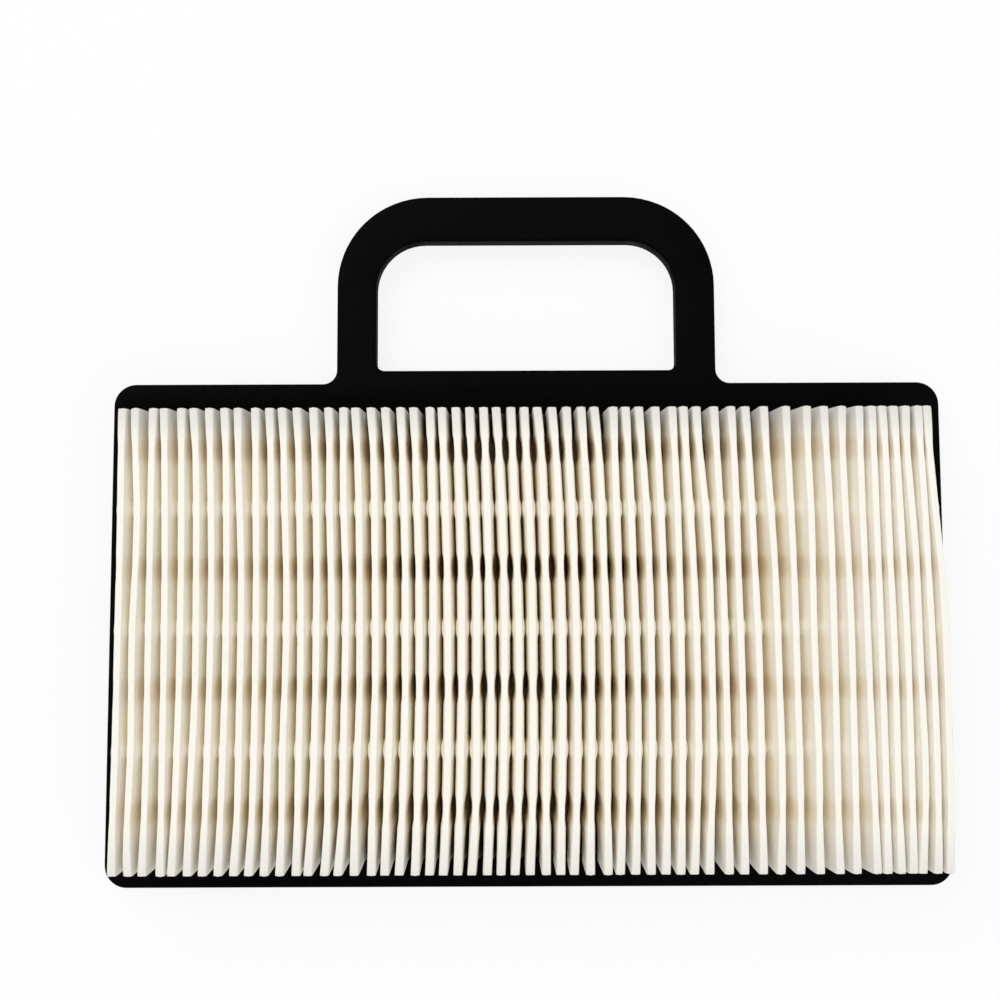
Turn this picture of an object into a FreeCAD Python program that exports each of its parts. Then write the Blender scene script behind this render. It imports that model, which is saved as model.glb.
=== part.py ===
"""Flat panel air filter with a pull handle, for the air box of a small engine.

A pleated paper pack is cast into a polyurethane frame. The rim of the frame carries the handle in
front and a sealing rib behind. A bead of hot-melt glue closes each end of every pleat.

Millimetres. The panel lies flat: the sealing rib stands on Z = 0, the ridges of the pleats point to
+Z and the handle points to +Y. The origin is under the middle of the outline, handle included.
"""

import FreeCAD, Part
import os
import sys

import Sketcher

# alias, value, what it is
DIMENSIONS = (
    ("rim_width", 245.0, "rim, left to right"),
    ("rim_depth", 146.0, "rim, front edge to handle edge"),
    ("rim_thickness", 10.5, "rim, without its sealing rib"),
    ("rim_corner", 6.5, "radius of the rim's outer corners"),
    ("side_flange", 8.4, "rim, from its left or right edge to the pack"),
    ("end_flange", 10.0, "rim, from its front or handle edge to the pack"),
    ("front_round", 1.0, "round along the outline, on the side of the ridges"),
    ("back_round", 0.8, "round along the outline, on the other side"),
    ("rib_width", 3.0, "sealing rib, across"),
    ("rib_height", 1.5, "sealing rib, below the rim"),
    ("rib_inset", 2.5, "from the edge of the rim to the sealing rib"),
    ("lip_width", 4.0, "lip of the rim that the pack's edge sits on"),
    ("lip_thickness", 1.5, "thickness of that lip"),
    ("handle_width", 112.8, "handle, over both legs"),
    ("handle_reach", 56.5, "handle, out from the rim"),
    ("handle_thickness", 7.0, "handle, front to back"),
    ("handle_corner", 27.0, "radius of the handle's outer corners"),
    ("foot_corner", 4.2, "radius where a leg runs into the rim"),
    ("leg_width", 11.7, "handle, across one leg"),
    ("grip_width", 13.6, "handle, across its bar"),
    ("foot_band", 3.9, "band between the rim and the hand hole"),
    ("hole_corner", 14.5, "radius of the hand hole's corners at the bar"),
    ("hole_foot_corner", 2.5, "radius of the hand hole's corners at the rim"),
    ("wanted_pitch", 4.08, "pitch of the pleats, before it is evened out over the pack"),
    ("pleat_height", 38.0, "pack, over its folds"),
    ("ridge_width", 2.8, "one pleat, across its ridge"),
    ("paper_thickness", 0.6, "filter paper"),
    ("fold_corner", 0.5, "outer radius of a fold"),
    ("bead_length", 2.2, "glue bead, along the pleat"),
    ("key_length", 7.0, "polyurethane between two pleats, in from the pack's end"),
    ("key_drop", 1.0, "from the face of the rim down to that polyurethane"),
)

doc = FreeCAD.newDocument("air_filter")
sheet = doc.addObject("Spreadsheet::Sheet", "dims")
for row, (alias, value, meaning) in enumerate(DIMENSIONS, start=1):
    sheet.set(f"A{row}", meaning)
    sheet.set(f"B{row}", str(value))
    sheet.setAlias(f"B{row}", alias)
doc.recompute()


class Size:
    """A number together with the sheet expression that gives it."""

    def __init__(self, number, text):
        self.number = number
        self.text = text

    @staticmethod
    def of(value):
        return value if isinstance(value, Size) else Size(float(value), str(value))

    def _with(self, symbol, other, number):
        return Size(number, f"({self.text} {symbol} {other.text})")

    def __add__(self, other):
        other = Size.of(other)
        return self._with("+", other, self.number + other.number)

    def __sub__(self, other):
        other = Size.of(other)
        return self._with("-", other, self.number - other.number)

    def __mul__(self, other):
        other = Size.of(other)
        return self._with("*", other, self.number * other.number)

    def __truediv__(self, other):
        other = Size.of(other)
        return self._with("/", other, self.number / other.number)

    def __neg__(self):
        return self * -1

    def rounded(self):
        return Size(float(round(self.number)), f"round({self.text})")


def dim(alias):
    return Size(float(sheet.get(alias)), f"dims.{alias}")


# ------------------------------------------------------------------ places that several pieces use

RIM_X = dim("rim_width") / 2
PANEL_Y = -dim("handle_reach") / 2
RIM_FRONT_Y = PANEL_Y - dim("rim_depth") / 2
RIM_HANDLE_Y = PANEL_Y + dim("rim_depth") / 2

PACK_X = RIM_X - dim("side_flange")
PACK_FRONT_Y = RIM_FRONT_Y + dim("end_flange")
PACK_HANDLE_Y = RIM_HANDLE_Y - dim("end_flange")

RIM_BACK_Z = dim("rib_height")
PACK_BACK_Z = RIM_BACK_Z + dim("lip_thickness")
RIM_FACE_Z = RIM_BACK_Z + dim("rim_thickness")

PLEATS = (PACK_X * 2 / dim("wanted_pitch")).rounded()
PITCH = PACK_X * 2 / PLEATS
HALF_RIDGE = dim("ridge_width") / 2
HALF_INSIDE = HALF_RIDGE - dim("paper_thickness")
GAP = PITCH - dim("ridge_width")
FLOOR_OF_GAP_Z = PACK_BACK_Z + dim("paper_thickness")
INSIDE_HEIGHT = dim("pleat_height") - dim("paper_thickness")


# ----------------------------------------------------------------------- bodies, sketches, features


def new_body(label):
    body = doc.addObject("PartDesign::Body", label)
    body.Label = label
    return body


def new_sketch(body, name, role, offset):
    """A sketch on one of the body's own origin planes, moved along the plane's normal by offset."""
    plane = next(p for p in body.Origin.OriginFeatures if p.Role == role)
    sketch = body.newObject("Sketcher::SketchObject", name)
    sketch.AttachmentSupport = [(plane, "")]
    sketch.MapMode = "FlatFace"
    sketch.setExpression(".AttachmentOffset.Base.z", Size.of(offset).text)
    return sketch


def constrain(sketch, kind, elements, value):
    index = sketch.addConstraint(Sketcher.Constraint(kind, *elements, value.number))
    sketch.setExpression(f"Constraints[{index}]", value.text)


def draw_outline(sketch, corners):
    """A closed outline of runs along X and Y; corners is a list of (x, y, radius or None).

    Every run is held by its distance from the sketch's origin, and every round by its radius.
    """
    points = [FreeCAD.Vector(x.number, y.number, 0) for x, y, _ in corners]
    count = len(corners)
    start_of_run = list(points)
    end_at_corner = list(points)
    rounds = {}
    for i, (_, _, radius) in enumerate(corners):
        if radius is None:
            continue
        back = (points[i - 1] - points[i]).normalize() * radius.number
        ahead = (points[(i + 1) % count] - points[i]).normalize() * radius.number
        end_at_corner[i] = points[i] + back
        start_of_run[i] = points[i] + ahead
        centre = points[i] + back + ahead
        middle = centre - (back + ahead).normalize() * radius.number
        arc = Part.Arc(end_at_corner[i], middle, start_of_run[i])
        rounds[i] = sketch.addGeometry(arc)
    runs = [
        sketch.addGeometry(Part.LineSegment(start_of_run[i], end_at_corner[(i + 1) % count]))
        for i in range(count)
    ]
    for i, (x, y, radius) in enumerate(corners):
        run = runs[i]
        along_x = abs(points[(i + 1) % count].y - points[i].y) < 1e-9
        sketch.addConstraint(Sketcher.Constraint("Horizontal" if along_x else "Vertical", run))
        if along_x:
            constrain(sketch, "DistanceY", (-1, 1, run, 1), y)
        else:
            constrain(sketch, "DistanceX", (-1, 1, run, 1), x)
        if radius is None:
            sketch.addConstraint(Sketcher.Constraint("Coincident", runs[i - 1], 2, run, 1))
            continue
        arc = rounds[i]
        first, last = arc_ends(sketch, arc, end_at_corner[i])
        sketch.addConstraint(Sketcher.Constraint("Tangent", runs[i - 1], 2, arc, first))
        sketch.addConstraint(Sketcher.Constraint("Tangent", run, 1, arc, last))
        constrain(sketch, "Radius", (arc,), radius)


def arc_ends(sketch, arc, first_point):
    """Which end of the arc, 1 or 2, lies at first_point, and the other one."""
    if sketch.getPoint(arc, 1).distanceToPoint(first_point) < 1e-6:
        return 1, 2
    return 2, 1


def draw_rectangle(sketch, half_x, low_y, high_y, low_radius=None, high_radius=None):
    draw_outline(
        sketch,
        [
            (-half_x, low_y, low_radius),
            (half_x, low_y, low_radius),
            (half_x, high_y, high_radius),
            (-half_x, high_y, high_radius),
        ],
    )


def pad(body, sketch, name, length):
    """The sketch's outline grown along its normal."""
    feature = body.newObject("PartDesign::Pad", name)
    feature.Profile = sketch
    feature.setExpression("Length", length.text)
    doc.recompute()
    return feature


def pocket(body, sketch, name, length):
    """The sketch's outline cut out, against its normal; it has to take something away."""
    before = body.Shape.Volume
    feature = body.newObject("PartDesign::Pocket", name)
    feature.Profile = sketch
    feature.setExpression("Length", length.text)
    doc.recompute()
    if not feature.Shape.Volume < before:
        sys.exit(f"{name} cuts nothing")
    return feature


def edges_at(shape, height, chosen):
    """Names of the edges that lie in the plane Z = height and whose middle passes the test."""
    names = []
    for number, edge in enumerate(shape.Edges, start=1):
        box = edge.BoundBox
        if abs(box.ZMin - height) < 1e-4 and abs(box.ZMax - height) < 1e-4:
            middle = edge.valueAt((edge.FirstParameter + edge.LastParameter) / 2)
            if chosen(middle):
                names.append(f"Edge{number}")
    return names


def round_edges(body, name, edge_names, radius):
    rounded = body.Tip
    feature = body.newObject("PartDesign::Fillet", name)
    feature.Base = (rounded, edge_names)
    feature.setExpression("Radius", radius.text)
    doc.recompute()
    return feature


def repeat_along_x(body, feature, name, count):
    """Copies of the feature, a pitch apart, count with the first."""
    pattern = body.newObject("PartDesign::LinearPattern", name)
    pattern.Originals = [feature]
    axis = next(a for a in body.Origin.OriginFeatures if a.Role == "X_Axis")
    pattern.Direction = (axis, [""])
    pattern.setExpression("Length", (PITCH * (count - 1)).text)
    pattern.setExpression("Occurrences", count.text)
    body.Tip = pattern
    doc.recompute()
    return pattern


# ------------------------------------------------------------------------------------------- pieces


def make_frame():
    """Polyurethane casting: rim, lip, sealing rib and pull handle in one."""
    body = new_body("moulded_frame")

    handle_back_z = RIM_FACE_Z - dim("handle_thickness")
    handle = new_sketch(body, "handle_outline", "XY_Plane", handle_back_z)
    leg_x = dim("handle_width") / 2
    root_x = leg_x + dim("foot_corner") * 2
    root_y = RIM_HANDLE_Y - dim("end_flange") / 2
    bar_y = RIM_HANDLE_Y + dim("handle_reach")
    draw_outline(
        handle,
        [
            (-root_x, root_y, None),
            (root_x, root_y, None),
            (root_x, RIM_HANDLE_Y, None),
            (leg_x, RIM_HANDLE_Y, dim("foot_corner")),
            (leg_x, bar_y, dim("handle_corner")),
            (-leg_x, bar_y, dim("handle_corner")),
            (-leg_x, RIM_HANDLE_Y, dim("foot_corner")),
            (-root_x, RIM_HANDLE_Y, None),
        ],
    )
    pad(body, handle, "handle", dim("handle_thickness"))

    hand_hole = new_sketch(body, "hand_hole_outline", "XY_Plane", RIM_FACE_Z)
    draw_rectangle(
        hand_hole,
        leg_x - dim("leg_width"),
        RIM_HANDLE_Y + dim("foot_band"),
        bar_y - dim("grip_width"),
        dim("hole_foot_corner"),
        dim("hole_corner"),
    )
    pocket(body, hand_hole, "hand_hole", dim("handle_thickness"))

    # The handle's root stays square: it ends up inside the rim.
    outside_root = RIM_HANDLE_Y.number - 1e-3
    back = edges_at(body.Shape, handle_back_z.number, lambda middle: middle.y > outside_root)
    round_edges(body, "handle_back_rounds", back, dim("back_round"))

    rim = new_sketch(body, "rim_outline", "XY_Plane", RIM_BACK_Z)
    corner = dim("rim_corner")
    draw_rectangle(rim, RIM_X, RIM_FRONT_Y, RIM_HANDLE_Y, corner, corner)
    pad(body, rim, "rim", dim("rim_thickness"))

    # Only the outlines lie at these heights yet, because the pack's seat is cut later.
    back = edges_at(body.Shape, RIM_BACK_Z.number, lambda middle: True)
    round_edges(body, "back_rounds", back, dim("back_round"))
    front = edges_at(body.Shape, RIM_FACE_Z.number, lambda middle: True)
    round_edges(body, "front_rounds", front, dim("front_round"))

    # The seat fits the pack: its outer flanks above, and below them the feet of its last folds.
    seat = new_sketch(body, "pack_seat_outline", "XY_Plane", RIM_FACE_Z)
    draw_rectangle(seat, PACK_X - GAP / 2, PACK_FRONT_Y, PACK_HANDLE_Y)
    pocket(body, seat, "pack_seat", RIM_FACE_Z - PACK_BACK_Z)
    foot_groove = new_sketch(body, "foot_groove_outline", "XY_Plane", FLOOR_OF_GAP_Z)
    draw_rectangle(foot_groove, PACK_X, PACK_FRONT_Y, PACK_HANDLE_Y)
    pocket(body, foot_groove, "foot_groove", dim("paper_thickness"))

    # Polyurethane runs in between the pleats at both ends of the pack and keys it to the rim.
    keys = new_sketch(body, "key_outline", "XY_Plane", FLOOR_OF_GAP_Z)
    first_gap = -PACK_X + PITCH
    for low_y, high_y in (
        (PACK_FRONT_Y, PACK_FRONT_Y + dim("key_length")),
        (PACK_HANDLE_Y - dim("key_length"), PACK_HANDLE_Y),
    ):
        draw_outline(
            keys,
            [
                (first_gap - GAP / 2, low_y, None),
                (first_gap + GAP / 2, low_y, None),
                (first_gap + GAP / 2, high_y, None),
                (first_gap - GAP / 2, high_y, None),
            ],
        )
    key_height = RIM_FACE_Z - dim("key_drop") - FLOOR_OF_GAP_Z
    first_keys = pad(body, keys, "first_keys", key_height)
    repeat_along_x(body, first_keys, "keys", PLEATS - 1)

    opening = new_sketch(body, "air_opening_outline", "XY_Plane", PACK_BACK_Z)
    lip = dim("lip_width")
    draw_rectangle(opening, PACK_X - lip, PACK_FRONT_Y + lip, PACK_HANDLE_Y - lip)
    pocket(body, opening, "air_opening", dim("lip_thickness"))

    rib = new_sketch(body, "sealing_rib_outline", "XY_Plane", 0)
    outer = dim("rib_inset")
    inner = outer + dim("rib_width")
    corner = dim("rib_width")
    draw_rectangle(rib, RIM_X - outer, RIM_FRONT_Y + outer, RIM_HANDLE_Y - outer, corner, corner)
    draw_rectangle(rib, RIM_X - inner, RIM_FRONT_Y + inner, RIM_HANDLE_Y - inner)
    pad(body, rib, "sealing_rib", dim("rib_height"))
    return body


def make_paper():
    """One long sheet of filter paper, folded to and fro: upright flanks with flat ridges."""
    body = new_body("pleated_paper")
    section = new_sketch(body, "pleat_section", "XZ_Plane", -PACK_HANDLE_Y)
    paper = dim("paper_thickness")
    first = -PACK_X + PITCH / 2
    back = PACK_BACK_Z
    top = back + dim("pleat_height")
    fold = dim("fold_corner")
    draw_outline(
        section,
        [
            (first - PITCH / 2, back, None),
            (first - HALF_INSIDE, back, fold),
            (first - HALF_INSIDE, top - paper, None),
            (first + HALF_INSIDE, top - paper, None),
            (first + HALF_INSIDE, back, fold),
            (first + PITCH / 2, back, None),
            (first + PITCH / 2, back + paper, None),
            (first + HALF_RIDGE, back + paper, None),
            (first + HALF_RIDGE, top, fold),
            (first - HALF_RIDGE, top, fold),
            (first - HALF_RIDGE, back + paper, None),
            (first - PITCH / 2, back + paper, None),
        ],
    )
    pleat = pad(body, section, "pleat", PACK_HANDLE_Y - PACK_FRONT_Y)
    repeat_along_x(body, pleat, "pleats", PLEATS)
    return body


def make_beads(label, handle_side_y):
    """Hot-melt glue between the two leaves of each pleat, which closes the pleat's end."""
    body = new_body(label)
    body.AllowCompound = True
    section = new_sketch(body, f"{label}_section", "XZ_Plane", -handle_side_y)
    first = -PACK_X + PITCH / 2
    top = PACK_BACK_Z + INSIDE_HEIGHT
    draw_outline(
        section,
        [
            (first - HALF_INSIDE, PACK_BACK_Z, None),
            (first + HALF_INSIDE, PACK_BACK_Z, None),
            (first + HALF_INSIDE, top, None),
            (first - HALF_INSIDE, top, None),
        ],
    )
    bead = pad(body, section, f"{label}_bead", dim("bead_length"))
    repeat_along_x(body, bead, f"{label}_row", PLEATS)
    return body


pieces = [
    make_frame(),
    make_paper(),
    make_beads("end_beads_handle_side", PACK_HANDLE_Y),
    make_beads("end_beads_front_side", PACK_FRONT_Y + dim("bead_length")),
]
doc.recompute()

# ------------------------------------------------------------------------------- checks and output

for item in doc.Objects:
    if "Invalid" in item.State or "Error" in item.State:
        sys.exit(f"{item.Label}: {item.State}")
for sketch in doc.findObjects("Sketcher::SketchObject"):
    if sketch.solve() != 0:
        sys.exit(f"{sketch.Label} does not solve")
for piece in pieces:
    if piece.Shape.isNull() or not piece.Shape.isValid():
        sys.exit(f"{piece.Label} has no valid shape")

os.makedirs("parts", exist_ok=True)
for piece in pieces:
    piece.Shape.exportStep(f"parts/{piece.Label}.step")
    box = piece.Shape.BoundBox
    print(
        f"{piece.Label}: {len(piece.Shape.Solids)} solids, {piece.Shape.Volume / 1000:.2f} cm3,"
        f" X {box.XMin:.2f} to {box.XMax:.2f}, Y {box.YMin:.2f} to {box.YMax:.2f},"
        f" Z {box.ZMin:.2f} to {box.ZMax:.2f}"
    )
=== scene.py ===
import math

import bpy
import numpy as np
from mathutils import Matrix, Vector


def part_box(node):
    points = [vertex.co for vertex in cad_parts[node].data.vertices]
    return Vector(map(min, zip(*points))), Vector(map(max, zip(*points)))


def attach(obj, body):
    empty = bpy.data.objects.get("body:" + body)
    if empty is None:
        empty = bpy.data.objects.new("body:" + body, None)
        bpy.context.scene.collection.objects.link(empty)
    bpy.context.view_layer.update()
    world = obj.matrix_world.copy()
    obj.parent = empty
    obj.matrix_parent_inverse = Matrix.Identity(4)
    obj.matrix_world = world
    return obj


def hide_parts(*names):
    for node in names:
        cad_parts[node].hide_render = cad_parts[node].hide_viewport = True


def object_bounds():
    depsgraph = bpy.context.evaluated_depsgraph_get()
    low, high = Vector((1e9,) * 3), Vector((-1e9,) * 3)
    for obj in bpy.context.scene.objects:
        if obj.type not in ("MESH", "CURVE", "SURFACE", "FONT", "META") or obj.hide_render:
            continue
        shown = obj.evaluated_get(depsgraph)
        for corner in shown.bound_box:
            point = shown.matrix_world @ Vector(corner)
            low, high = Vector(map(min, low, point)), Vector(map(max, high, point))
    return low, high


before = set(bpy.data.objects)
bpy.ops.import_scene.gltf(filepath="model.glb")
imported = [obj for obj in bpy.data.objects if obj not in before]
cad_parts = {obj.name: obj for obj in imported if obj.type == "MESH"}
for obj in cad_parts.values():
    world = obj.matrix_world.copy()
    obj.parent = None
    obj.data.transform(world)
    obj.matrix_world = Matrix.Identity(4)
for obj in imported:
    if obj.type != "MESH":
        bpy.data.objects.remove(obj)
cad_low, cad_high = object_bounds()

scene = bpy.context.scene
scene.view_settings.view_transform = "Standard"


# ------------------------------------------------------------------------------------------- camera
# Straight over the panel and close to it, a little to the left of its middle and leaning a few
# degrees towards the handle, so that the pleats open away from a point just left of the centre.

CAMERA_HEIGHT = 0.4221
CAMERA_OFFSET = (-0.0080, -0.0031)      # of the camera from the panel's middle
CAMERA_LEAN = (5.14, -0.2)              # degrees about X and Z

middle = (cad_low + cad_high) / 2
camera_data = bpy.data.cameras.new("overhead_camera")
camera_data.lens = 50.0
camera_data.sensor_width = 36.0
camera_data.shift_y = -0.08
camera = bpy.data.objects.new("overhead_camera", camera_data)
camera.location = (middle.x + CAMERA_OFFSET[0], middle.y + CAMERA_OFFSET[1], CAMERA_HEIGHT)
camera.rotation_euler = (math.radians(CAMERA_LEAN[0]), 0.0, math.radians(CAMERA_LEAN[1]))
scene.collection.objects.link(camera)
scene.camera = camera


# ------------------------------------------------------------------------------------ floor, lights
# A pale floor under the panel, a soft box off the handle's left corner, a weaker one opposite, and a
# sky that is brighter overhead than at the horizon. The camera sees that sky as plain white, and
# the floor as nearly white with a faint shadow.

FLOOR_REACH = 3.0
FLOOR_GREY = 0.9
FLOOR_LIFT = 0.86                # share of plain white in what the camera sees of the floor
SKY_STRENGTH = (0.28, 0.57)      # at the horizon, and overhead
SKY_RISE = 0.6                   # how steeply up the sky is at its full strength
BOX_SIZE = 0.9
BOUNCES = 32                     # light goes down between the pleats in many small steps

scene.cycles.max_bounces = BOUNCES
scene.cycles.diffuse_bounces = BOUNCES


class Value:
    """An output socket; arithmetic on it adds Math nodes to its finish."""

    def __init__(self, finish, socket):
        self.finish = finish
        self.socket = socket

    def joined(self, operation, first, second):
        return self.finish.node("ShaderNodeMath", {"operation": operation}, {0: first, 1: second})

    def __add__(self, other):
        return self.joined("ADD", self, other)

    def __sub__(self, other):
        return self.joined("SUBTRACT", self, other)

    def __rsub__(self, other):
        return self.joined("SUBTRACT", other, self)

    def __mul__(self, other):
        return self.joined("MULTIPLY", self, other)

    __radd__ = __add__
    __rmul__ = __mul__


class Finish:
    """A material, or the sky, that starts empty and takes its nodes one at a time."""

    def __init__(self, name, owner=None):
        self.material = owner or bpy.data.materials.new(name)
        self.material.use_nodes = True
        self.tree = self.material.node_tree
        self.tree.nodes.clear()

    def node(self, kind, settings=None, inputs=None, output=0):
        """Adds a node; its settings and stops come first, then the values or links of its inputs."""
        made = self.tree.nodes.new(kind)
        for name, setting in (settings or {}).items():
            setattr(made, name, setting)
        for name, value in (inputs or {}).items():
            if isinstance(value, Value):
                self.tree.links.new(value.socket, made.inputs[name])
            else:
                made.inputs[name].default_value = value
        return Value(self, made.outputs[output]) if made.outputs else None

    def blend(self, share, low, high):
        """A colour between two others."""
        return self.node("ShaderNodeMix", {"data_type": "RGBA"}, {0: share, 6: low, 7: high}, 2)

    def ease(self, value, start, end):
        """0 at the start, 1 at the end and smooth between them."""
        settings = {"interpolation_type": "SMOOTHSTEP"}
        return self.node("ShaderNodeMapRange", settings, {"Value": value, 1: start, 2: end})

    def cloud(self, place, scale, detail=2.0):
        """Soft random patches, about 1 / scale metres across."""
        return self.node("ShaderNodeTexNoise", {}, {"Vector": place, "Scale": scale, "Detail": detail})

    def close(self, shader):
        """Ends the material with its shader."""
        self.node("ShaderNodeOutputMaterial", {}, {"Surface": shader})
        return self.material


bpy.ops.object.select_all(action="DESELECT")
bpy.ops.mesh.primitive_plane_add(size=2 * FLOOR_REACH, location=(0, 0, cad_low.z - 0.0002))
floor = bpy.context.object
floor.name = "floor"
bpy.ops.object.transform_apply(location=True, rotation=True, scale=True)
pale = Finish("pale_floor")
floor_matte = pale.node("ShaderNodeBsdfDiffuse", {}, {"Color": (FLOOR_GREY, FLOOR_GREY, FLOOR_GREY, 1)})
floor_glow = pale.node("ShaderNodeEmission", {}, {"Color": (1, 1, 1, 1), "Strength": 1.0})
floor_seen = pale.node("ShaderNodeLightPath") * FLOOR_LIFT
floor.data.materials.append(
    pale.close(pale.node("ShaderNodeMixShader", {}, {0: floor_seen, 1: floor_matte, 2: floor_glow}))
)

world = bpy.data.worlds.new("studio")
scene.world = world
sky = Finish("sky", world)
upward = sky.node("ShaderNodeSeparateXYZ", {}, {0: sky.node("ShaderNodeTexCoord")}, "Z")
strength = SKY_STRENGTH[0] + (SKY_STRENGTH[1] - SKY_STRENGTH[0]) * sky.ease(upward, 0.0, SKY_RISE)
seen = sky.node("ShaderNodeLightPath")
strength = strength + seen * (1 - strength)
backdrop = sky.node("ShaderNodeBackground", {}, {"Color": (1, 1, 1, 1), "Strength": strength})
sky.node("ShaderNodeOutputWorld", {}, {"Surface": backdrop})


def soft_box(name, location, power):
    """A square lamp aimed at the panel's middle."""
    lamp = bpy.data.lights.new(name, "AREA")
    lamp.shape = "SQUARE"
    lamp.size = BOX_SIZE
    lamp.energy = power
    holder = bpy.data.objects.new(name, lamp)
    holder.location = location
    holder.rotation_euler = (middle - Vector(location)).to_track_quat("-Z", "Y").to_euler()
    scene.collection.objects.link(holder)


soft_box("key_box", (-0.50, 0.60, 1.30), 10.0)
soft_box("fill_box", (0.70, -0.50, 1.25), 5.4)


# ------------------------------------------------------------------------------------ pleated paper
# One long sheet of resin-treated filter paper, embossed with rows of bosses while it is flat and
# then folded to and fro. Outward bosses hold neighbouring pleats apart, and inward ones pinch them.
# Only the feet are held straight, so the ridges lean and wander, and crowd near the right end.

PLEATS = 56
PAPER = 0.00042         # thickness of the sheet
RIDGE_HALF = 0.00100    # half the width of a ridge between the rows
SPREAD = 0.00072        # how far a flank stands out below its ridge, as the fold opens
SHOULDER = 0.00042      # radius of the fold's shoulders
ROW_PITCH = 0.0164      # from one row of bosses to the next
ROWS_EACH_WAY = 3
ROW_SHIFT = 0.0024      # of the middle row, towards the handle
HELD_HEIGHT = 0.0112    # the casting's keys hold the pleats upright and even up to here
HELD_HALF = 0.0014      # half the width of a pleat there
HELD_FADE = 0.008       # height in which a pleat goes over to its own width
SWING_HEIGHT = 0.010    # and in which it reaches its body's own place
RIDGE_GAP = 0.00050     # least room between one ridge and the next
BOSS_REACH = 0.0028     # half the length of an outward boss, along the ridge
PINCH_REACH = 0.0043    # half the length of an inward one
BOSS_RISE = 0.0009      # how far an outward boss stands out of its flank
END_REACH = 0.015       # a pleat spreads less within this distance of its ends
END_SWELL = 0.00018     # but its ridge is this much wider there, round the bead of glue
FLANK_LEVELS = (0.012, 0.21, 0.52, 0.86, 0.955)   # lines along the flank, as shares of its height
SIDE_LINES = ("fold",) + FLANK_LEVELS + ("low", "turn", "edge")

paper_low, paper_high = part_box("pleated_paper")
pleat_pitch = (paper_high.x - paper_low.x) / PLEATS
paper_middle_y = (paper_low.y + paper_high.y) / 2
rows = [
    (paper_middle_y + ROW_SHIFT + k * ROW_PITCH, k % 2 == 0)
    for k in range(-ROWS_EACH_WAY, ROWS_EACH_WAY + 1)
]
chance = np.random.default_rng(7)


def smooth_step(value):
    value = np.clip(value, 0.0, 1.0)
    return value * value * (3 - 2 * value)


def stations_along_ridge():
    """Places along Y where the sheet has a line of points: close together where it is embossed."""
    places = {paper_low.y, paper_high.y}
    for inset in (0.0005, 0.0016, 0.0045):
        places.update((paper_low.y + inset, paper_high.y - inset))
    for row_y, outward in rows:
        reach = BOSS_REACH if outward else PINCH_REACH
        places.update(row_y + share * reach for share in (-1.0, -0.5, 0.0, 0.5, 1.0))
    return np.array(sorted(places))


def wander(along, calm):
    """A slow random wave along Y for each pleat."""
    waves = np.zeros((PLEATS, len(along)))
    span = paper_high.y - paper_low.y
    for turns in (0.5, 1.1, 2.3):
        phase = chance.uniform(0, 2 * math.pi, (PLEATS, 1))
        size = chance.normal(0, 1, (PLEATS, 1)) / (1 + calm * turns)
        waves += size * np.sin(2 * math.pi * turns * (along - paper_low.y) / span + phase)
    return waves


def ridge_places(along):
    """X at each station of each pleat's upright body, then of its ridge; a row is a pleat."""
    # Each bows to the right in mid-length. Past a third of the pack the ridges slip left, past
    # three quarters they crowd to the right, and the last few are pushed back off the rim.
    share = (np.arange(PLEATS) / (PLEATS - 1))[:, None]
    v = ((along - paper_middle_y) / (paper_high.y - paper_middle_y))[None, :]
    bow = smooth_step(share / 0.12) * (0.0009 - 0.0015 * v ** 2)
    slack = smooth_step((share - 0.30) / 0.28) * (-0.0025 - 0.00065 * v)
    crowd = smooth_step((share - 0.75) / 0.145) * (0.0061 + 0.0016 * v ** 2)
    ease = np.clip((share - 0.89) / 0.11, 0, 1) * (-0.0034 - 0.0021 * v ** 2 - 0.0004 * v)
    loose = (0.00016 + 0.00034 * v ** 2) * wander(along, 0.5)
    bodies = held_x[:, None] + (bow + slack) * (1 - smooth_step((share - 0.72) / 0.12))
    places = held_x[:, None] + bow + slack + crowd + ease + loose
    least = 2 * RIDGE_HALF + RIDGE_GAP
    for i in range(1, PLEATS):
        places[i] = np.maximum(places[i], places[i - 1] + least)
    last = held_x[-1] + 0.0012 - 0.0031 * smooth_step(v[0])
    places[-1] = np.minimum(places[-1], last)
    for i in range(PLEATS - 2, -1, -1):
        places[i] = np.minimum(places[i], places[i + 1] - least)
    return bodies, places


def row_strength(along, reach, outward):
    """How much a row of bosses is felt at each station, from 0 to 1."""
    felt = [
        np.clip(1 - np.abs(along - row_y) / reach, 0, 1)
        for row_y, row_outward in rows if row_outward == outward
    ]
    return smooth_step(1.35 * np.max(felt, axis=0))


held_x = paper_low.x + (np.arange(PLEATS) + 0.5) * pleat_pitch
along = stations_along_ridge()
body_x, ridge_x = ridge_places(along)
from_end = np.minimum(along - paper_low.y, paper_high.y - along)
sag = 0.0002 * chance.random((PLEATS, 1)) + 0.00008 * np.abs(wander(along, 1.0))
ridge_z = paper_high.z - sag - 0.0004 * (1 - np.clip(from_end / 0.0012, 0, 1)) ** 2
boss = row_strength(along, BOSS_REACH, True)
pinch = row_strength(along, PINCH_REACH, False)
pinch_depth = chance.uniform(0.00066, 0.00084, (PLEATS, 1))
floor_z = paper_low.z + PAPER


def pleat_middle(pleat, height):
    """X of a pleat's middle at each station, at a height: even where held, then swung to its body's
    place, and leaning from there to its ridge."""
    above = height - cad_low.z - HELD_HEIGHT
    swung = smooth_step(above / SWING_HEIGHT)
    lean = np.clip(above / (ridge_z[pleat] - cad_low.z - HELD_HEIGHT), 0, 1)
    body = held_x[pleat] + (body_x[pleat] - held_x[pleat]) * swung
    return body + (ridge_x[pleat] - body_x[pleat]) * lean


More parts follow.
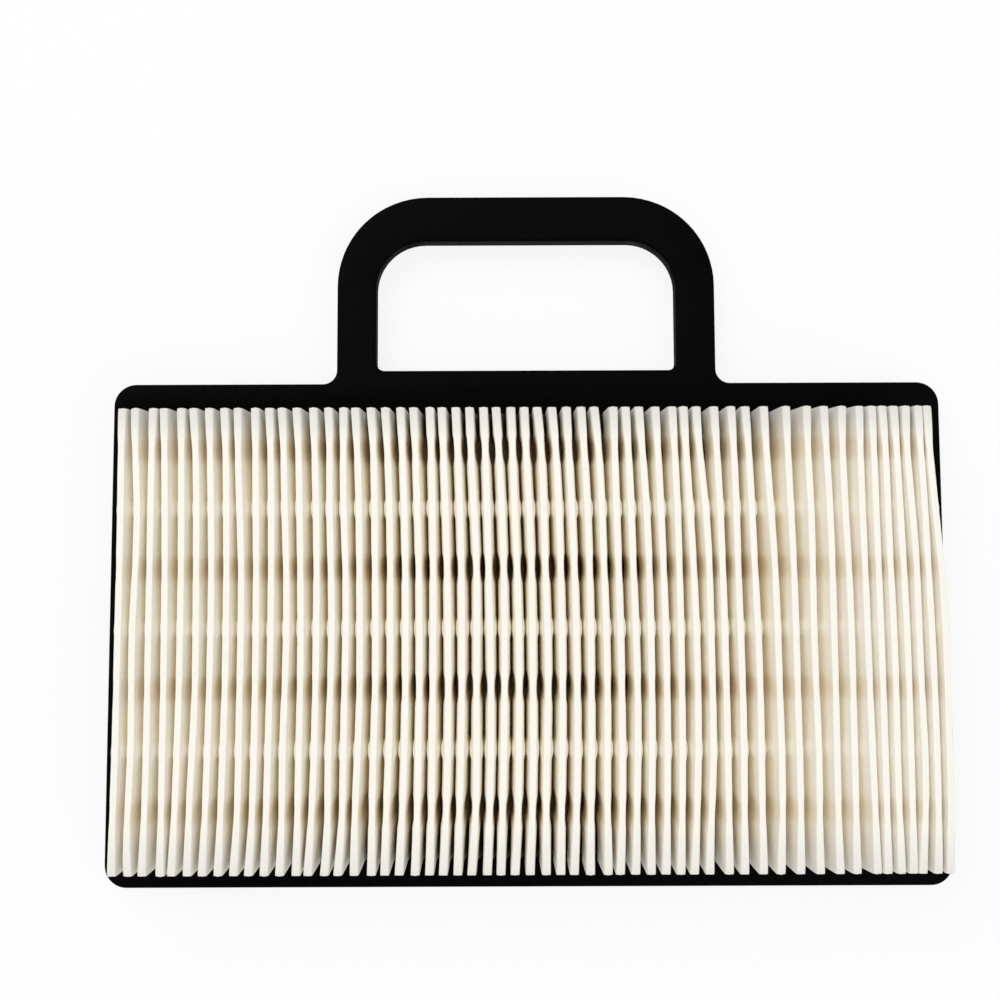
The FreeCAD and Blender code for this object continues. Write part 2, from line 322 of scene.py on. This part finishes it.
def room_beside(pleat, side, height):
    """Half the distance to the next pleat on that side, or half a pitch at the pack's outside."""
    other = pleat + side
    if 0 <= other < PLEATS:
        return np.abs(pleat_middle(other, height) - pleat_middle(pleat, height)) / 2
    return np.full(len(along), pleat_pitch / 2)


def half_width(pleat, side, height):
    """From a pleat's middle to its outer face, at each station: the ridge, the flank spread below it,
    then the rows of bosses, and last the foot's own width."""
    held = 1 - smooth_step((height - cad_low.z - HELD_HEIGHT) / HELD_FADE)
    below = np.clip(ridge_z[pleat] - height - SHOULDER, 0, None)
    near_end = 1 - smooth_step(from_end / END_REACH)
    opened = 1 - np.exp(-below / (0.0045 - 0.0022 * near_end))
    width = RIDGE_HALF + SPREAD * opened * (1 - 0.9 * near_end) + END_SWELL * near_end
    width = width - pinch * pinch_depth[pleat] * (0.12 + 0.88 * opened)
    room = room_beside(pleat, side, height)
    touching = np.minimum(room, width + BOSS_RISE)
    width = width + (touching - width) * boss * smooth_step((below - 0.0003) / 0.0029)
    width = width + (HELD_HALF - width) * held
    return np.minimum(width, room) - 0.00001


def sheet_line(pleat, side, line):
    """(x, z) along Y of one line of the sheet on one side of a pleat."""
    top = ridge_z[pleat]
    if line == "fold":
        foot = np.full(len(along), held_x[pleat] + side * (HELD_HALF + 0.00002))
        return foot, np.full(len(along), floor_z + 0.00005)
    if isinstance(line, float):
        foot_z = floor_z + 0.0005
        height = foot_z + line * (top - SHOULDER - foot_z)
        return pleat_middle(pleat, height) + side * half_width(pleat, side, height), height
    inward, drop = {"low": (0.0, 1.0), "turn": (0.29, 0.29), "edge": (1.0, 0.05)}[line]
    reach = half_width(pleat, side, top - SHOULDER) - inward * SHOULDER
    return pleat_middle(pleat, top) + side * np.maximum(reach, 0.0002), top - drop * SHOULDER


lines = [(np.full(len(along), paper_low.x), np.full(len(along), floor_z))]
for pleat in range(PLEATS):
    lines.extend(sheet_line(pleat, -1, line) for line in SIDE_LINES)
    lines.append((pleat_middle(pleat, ridge_z[pleat]), ridge_z[pleat]))
    lines.extend(sheet_line(pleat, 1, line) for line in reversed(SIDE_LINES))
    seam_x = held_x[pleat] + pleat_pitch / 2
    lines.append((np.full(len(along), seam_x), np.full(len(along), floor_z)))
line_x = np.array([x for x, _ in lines])
line_z = np.array([z for _, z in lines])

bpy.ops.object.select_all(action="DESELECT")
bpy.ops.mesh.primitive_grid_add(
    x_subdivisions=len(lines) - 1, y_subdivisions=len(along) - 1, size=1.0, location=(0, 0, 0)
)
paper = bpy.context.object
paper.name = "pleated_sheet"
flat = np.zeros(len(paper.data.vertices) * 3)
paper.data.vertices.foreach_get("co", flat)
flat = flat.reshape(-1, 3)
line_of = np.rint((flat[:, 0] + 0.5) * (len(lines) - 1)).astype(int)
station_of = np.rint((flat[:, 1] + 0.5) * (len(along) - 1)).astype(int)
folded = np.stack(
    [line_x[line_of, station_of], along[station_of], line_z[line_of, station_of]], axis=1
)
paper.data.vertices.foreach_set("co", folded.ravel())
paper.data.update()
thickness = paper.modifiers.new("paper_thickness", "SOLIDIFY")
thickness.thickness = PAPER
thickness.offset = -1
thickness.use_even_offset = True
bpy.ops.object.modifier_apply(modifier=thickness.name)
bpy.ops.object.shade_smooth_by_angle(angle=math.radians(50))

# The paper is off-white and slightly fuzzy, and each pleat and each lengthwise stripe differs a little
# from the next. Light and shade are painted into its colour: a painted highlight along each fold's
# edges, painted shade down the flanks and in the pressed dimples, painted bounce light deep between the
# pleats, and near-black painted shade on the feet between the pleats at both ends.
CROWN_GREY = (0.91, 0.885, 0.82, 1)
FOLD_EDGE_PAINTED_HIGHLIGHT = (0.985, 0.935, 0.82, 1)
FLANK_PAINTED_SHADE = (0.90, 0.868, 0.79, 1)
DEEP_PAINTED_BOUNCE = (0.975, 0.948, 0.875, 1)
END_GREY = (0.70, 0.69, 0.655, 1)
COOL_STRIPE = (0.92, 0.895, 0.84, 1)
PINK_CAST = (0.96, 0.90, 0.85, 1)
YELLOW_CAST = (0.95, 0.92, 0.79, 1)
SPECK_GREY = (0.78, 0.75, 0.70, 1)
DIMPLE_PAINTED_SHADE = (0.84, 0.75, 0.58, 1)
FOOT_PAINTED_SHADE = (0.05, 0.035, 0.02, 1)

sheet = Finish("filter_paper")
place = sheet.node("ShaderNodeTexCoord", {}, {}, "Object")
crosswise = sheet.node("ShaderNodeSeparateXYZ", {}, {0: place}, "X")
lengthwise = sheet.node("ShaderNodeSeparateXYZ", {}, {0: place}, "Y")
height = sheet.node("ShaderNodeSeparateXYZ", {}, {0: place}, "Z")
to_handle = sheet.ease(lengthwise, paper_high.y - 0.0110, paper_high.y)
to_front = sheet.ease(lengthwise, paper_low.y + 0.0160, paper_low.y)
from_centre = sheet.node("ShaderNodeMath", {"operation": "ABSOLUTE"}, {0: crosswise})
inner_pleats = sheet.ease(from_centre, paper_high.x - 0.0030, paper_high.x - 0.0080)
unfolded = sheet.node("ShaderNodeUVMap")
pleat_count = sheet.node("ShaderNodeSeparateXYZ", {}, {0: unfolded}, "X") * PLEATS
pleat_number = sheet.node("ShaderNodeMath", {"operation": "FLOOR"}, {0: pleat_count})
pleat_share = sheet.node("ShaderNodeMath", {"operation": "FRACT"}, {0: pleat_count})
from_ridge = sheet.node("ShaderNodeMath", {"operation": "ABSOLUTE"}, {0: pleat_share - 0.5})
pleat_cast = sheet.node("ShaderNodeTexWhiteNoise", {"noise_dimensions": "1D"}, {"W": pleat_number})
stripe_place = sheet.node(
    "ShaderNodeVectorMath", {"operation": "MULTIPLY"}, {0: place, 1: (2600.0, 22.0, 2600.0)}
)
stripes = sheet.cloud(stripe_place, 1.0, 2.0)
fuzz = sheet.cloud(place, 5200.0, 3.0)
mottle = sheet.cloud(place, 260.0, 3.0)
specks = sheet.ease(sheet.cloud(place, 520.0, 1.0), 0.74, 0.80)
below_ridge = sheet.ease(from_ridge, 0.07, 0.12)
deep_painted_bounce = sheet.ease(height, paper_high.z - 0.0010, paper_high.z - 0.0090)
row_angle = (lengthwise - rows[0][0]) * (math.pi / ROW_PITCH)
in_dimple = sheet.ease(sheet.node("ShaderNodeMath", {"operation": "COSINE"}, {0: row_angle}), 0.78, 0.95)
# Painted shade: the low paper between the inner pleats near both ends is painted near-black.
low_feet_shade = sheet.ease(height + 0.004 * mottle, cad_low.z + 0.0310, cad_low.z + 0.0190)
end_feet_painted_shade = low_feet_shade * inner_pleats * sheet.ease(to_handle + to_front * 0.6, 0.05, 0.6)
# Painted highlight: each fold's edges are whiter than its greyer crown.
colour = sheet.blend(sheet.ease(from_ridge, 0.025, 0.055), CROWN_GREY, FOLD_EDGE_PAINTED_HIGHLIGHT)
colour = sheet.blend(sheet.ease(stripes, 0.42, 0.68) * 0.5, colour, COOL_STRIPE)
colour = sheet.blend(sheet.ease(pleat_cast, 0.55, 1.0) * 0.45, colour, PINK_CAST)
colour = sheet.blend(sheet.ease(pleat_cast, 0.45, 0.0) * 0.45, colour, YELLOW_CAST)
# Painted shade: the flanks below each ridge are darker and warmer than the fold.
colour = sheet.blend(below_ridge, colour, FLANK_PAINTED_SHADE)
# Painted bounce light: the paper deep between the pleats is painted brighter than on the flanks.
colour = sheet.blend(deep_painted_bounce, colour, DEEP_PAINTED_BOUNCE)
# Painted shade on the flanks of the inner pleats at the pressed dimples.
colour = sheet.blend(in_dimple * inner_pleats * below_ridge * 0.4, colour, DIMPLE_PAINTED_SHADE)
colour = sheet.blend(to_handle * 0.8 + to_front * 0.5, colour, END_GREY)
colour = sheet.blend(sheet.ease(mottle, 0.45, 0.75) * 0.18, colour, COOL_STRIPE)
colour = sheet.blend(specks * 0.35, colour, SPECK_GREY)
colour = sheet.blend(end_feet_painted_shade, colour, FOOT_PAINTED_SHADE)
nap = sheet.node(
    "ShaderNodeBump", {}, {"Strength": 0.5, "Distance": 0.00006, "Height": fuzz + stripes * 0.8}
)
sheet_shader = sheet.node("ShaderNodeBsdfPrincipled", {}, {
    "Base Color": colour,
    "Roughness": 0.82 + 0.16 * fuzz,
    "Specular IOR Level": 0.12,
    "Subsurface Weight": 0.15,
    "Subsurface Radius": (1.0, 0.82, 0.6),
    "Subsurface Scale": 0.0005,
    "Normal": nap,
})
paper.data.materials.append(sheet.close(sheet_shader))
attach(paper, "root")
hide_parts("pleated_paper")


# ---------------------------------------------------------------------------------------- end beads
# A bead of hot-melt glue closes each pleat at each end. It is squeezed between the two flanks while
# soft, so it fills the fold from its root up to the ridge and stands slightly domed at the end.

BEAD_LENGTH = 0.0022
BEAD_BULGE = 0.00025
BEAD_STEPS = 6          # lines up the bead

glue = Finish("hot_melt_glue")
place = glue.node("ShaderNodeTexCoord", {}, {}, "Object")
lumps = glue.cloud(place, 900.0, 2.0)
bubbles = glue.ease(glue.cloud(place, 2600.0, 1.0), 0.66, 0.74)
glue_colour = glue.blend(glue.ease(lumps, 0.35, 0.7), (0.86, 0.83, 0.74, 1), (0.80, 0.75, 0.62, 1))
glue_colour = glue.blend(bubbles * 0.5, glue_colour, (0.92, 0.91, 0.86, 1))
glue_skin = glue.node(
    "ShaderNodeBump", {}, {"Strength": 0.6, "Distance": 0.00012, "Height": lumps - bubbles * 0.3}
)
glue_shader = glue.node("ShaderNodeBsdfPrincipled", {}, {
    "Base Color": glue_colour,
    "Roughness": 0.32 + 0.25 * lumps,
    "Specular IOR Level": 0.4,
    "Subsurface Weight": 0.3,
    "Subsurface Radius": (1.0, 0.8, 0.5),
    "Subsurface Scale": 0.0012,
    "Normal": glue_skin,
})
glue_finish = glue.close(glue_shader)

bpy.ops.object.select_all(action="DESELECT")
bpy.ops.mesh.primitive_grid_add(x_subdivisions=3, y_subdivisions=BEAD_STEPS, size=1.0)
pattern = bpy.context.object
depth = pattern.modifiers.new("bead_depth", "SOLIDIFY")
depth.thickness = 1.0
depth.offset = 1
bpy.ops.object.modifier_apply(modifier=depth.name)
unit = np.array([v.co[:] for v in pattern.data.vertices])


def bead_row(name, station, outward):
    """One bead in each pleat, at the pack's end where the given station is."""
    beads = []
    for pleat in range(PLEATS):
        bead = pattern.copy()
        bead.data = pattern.data.copy()
        scene.collection.objects.link(bead)
        across, up, out = unit[:, 0] * 2, unit[:, 1] + 0.5, unit[:, 2]
        low = paper_low.z + 0.0001
        z = low + np.sin(up * math.pi / 2) * (ridge_z[pleat][station] - 0.95 * PAPER - low)
        x = np.zeros(len(unit))
        for side in (-1, 1):
            inside = [
                half_width(pleat, side, np.full(len(along), h))[station] - 0.92 * PAPER for h in z
            ]
            x += np.where(across * side > 0, across * np.array(inside), 0)
        x += [pleat_middle(pleat, np.full(len(along), h))[station] for h in z]
        swell = BEAD_BULGE * (1 - across ** 2) * chance.uniform(0.4, 1.0)
        y = along[station] + outward * (out * (BEAD_LENGTH + swell) - BEAD_LENGTH)
        bead.data.vertices.foreach_set("co", np.stack([x, y, z], axis=1).ravel())
        beads.append(bead)
    bpy.ops.object.select_all(action="DESELECT")
    for bead in beads:
        bead.select_set(True)
    bpy.context.view_layer.objects.active = beads[0]
    bpy.ops.object.join()
    row = bpy.context.object
    row.name = name
    bpy.ops.object.mode_set(mode="EDIT")
    bpy.ops.mesh.select_all(action="SELECT")
    bpy.ops.mesh.normals_make_consistent(inside=False)
    bpy.ops.object.mode_set(mode="OBJECT")
    bpy.ops.object.shade_smooth_by_angle(angle=math.radians(45))
    row.data.materials.append(glue_finish)
    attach(row, "root")
    return row


handle_beads = bead_row("glue_beads_handle_side", len(along) - 1, 1)
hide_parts("end_beads_handle_side")
front_beads = bead_row("glue_beads_front_side", 0, -1)
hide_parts("end_beads_front_side")
bpy.data.objects.remove(pattern)


# ------------------------------------------------------------------------------------- moulded frame
# One soft black polyurethane casting, poured round the pack's feet: the rim, the pull handle, the
# sealing rib beneath and the keys between the pleats. It is satin black, with a faint skin from the
# mould, pinholes where bubbles met it, and a little paper dust.

bpy.ops.object.select_all(action="DESELECT")
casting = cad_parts["moulded_frame"].copy()
casting.data = casting.data.copy()
casting.name = "polyurethane_frame"
scene.collection.objects.link(casting)
casting.select_set(True)
bpy.context.view_layer.objects.active = casting
bpy.ops.object.mode_set(mode="EDIT")
bpy.ops.mesh.select_all(action="SELECT")
bpy.ops.mesh.remove_doubles(threshold=0.00001)
bpy.ops.object.mode_set(mode="OBJECT")
bpy.ops.object.shade_smooth_by_angle(angle=math.radians(30))

rubber = Finish("satin_polyurethane")
place = rubber.node("ShaderNodeTexCoord", {}, {}, "Object")
skin = rubber.cloud(place, 1500.0, 3.0)
sheen_patches = rubber.cloud(place, 45.0, 3.0)
pinholes = rubber.ease(rubber.cloud(place, 1900.0, 0.0), 0.76, 0.80)
dust = rubber.ease(rubber.cloud(place, 3600.0, 1.0), 0.70, 0.78) * rubber.ease(sheen_patches, 0.45, 0.7)
black = rubber.blend(sheen_patches, (0.0005, 0.0006, 0.0006, 1), (0.0013, 0.0013, 0.0012, 1))
black = rubber.blend(dust * 0.35, black, (0.05, 0.045, 0.04, 1))
rubber_skin = rubber.node(
    "ShaderNodeBump", {}, {"Strength": 0.5, "Distance": 0.00008, "Height": skin - pinholes * 1.5}
)
rubber_shader = rubber.node("ShaderNodeBsdfPrincipled", {}, {
    "Base Color": black,
    "Roughness": 0.42 + 0.24 * sheen_patches,
    "Specular IOR Level": 0.03,
    "Normal": rubber_skin,
})
casting.data.materials.clear()
casting.data.materials.append(rubber.close(rubber_shader))
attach(casting, "root")
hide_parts("moulded_frame")
